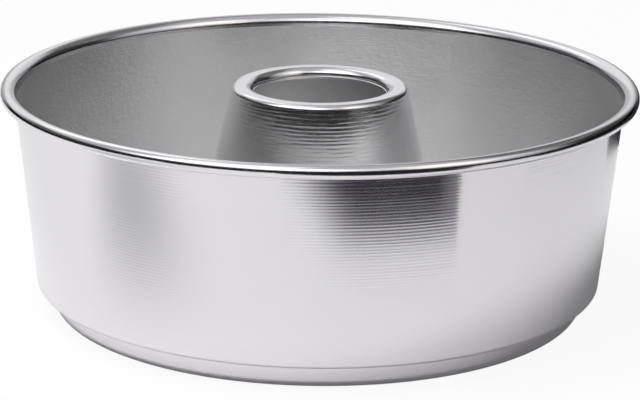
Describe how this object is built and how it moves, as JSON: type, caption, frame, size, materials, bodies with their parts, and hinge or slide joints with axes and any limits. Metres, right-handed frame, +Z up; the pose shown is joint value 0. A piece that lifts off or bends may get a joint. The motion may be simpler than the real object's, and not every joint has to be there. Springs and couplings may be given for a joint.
{
  "type": "ring cake mould",
  "caption": "Deep round ring mould for a stove-top camping oven: pressed aluminium pan with rolled rim and stepped foot, and a conical centre flue tube hemmed through its floor.",
  "frame": {"origin": "on the mould's axis, in the plane of the flat underside that it stands on", "axes": "+Z up along the mould's axis; X and Y are any two level directions, since the mould is round"},
  "size_m": [0.26, 0.26, 0.0928],
  "materials": {
    "pan_aluminium": "lathe-polished outside and on the rim, satin as pressed inside",
    "tube_aluminium": "lathe-turned, fine bright rings",
    "wire_steel": "bare drawn wire"
  },
  "bodies": {
    "root": {"pan_shell": "pan_aluminium", "centre_tube": "tube_aluminium", "rim_wire": "wire_steel"}
  },
  "joints": []
}
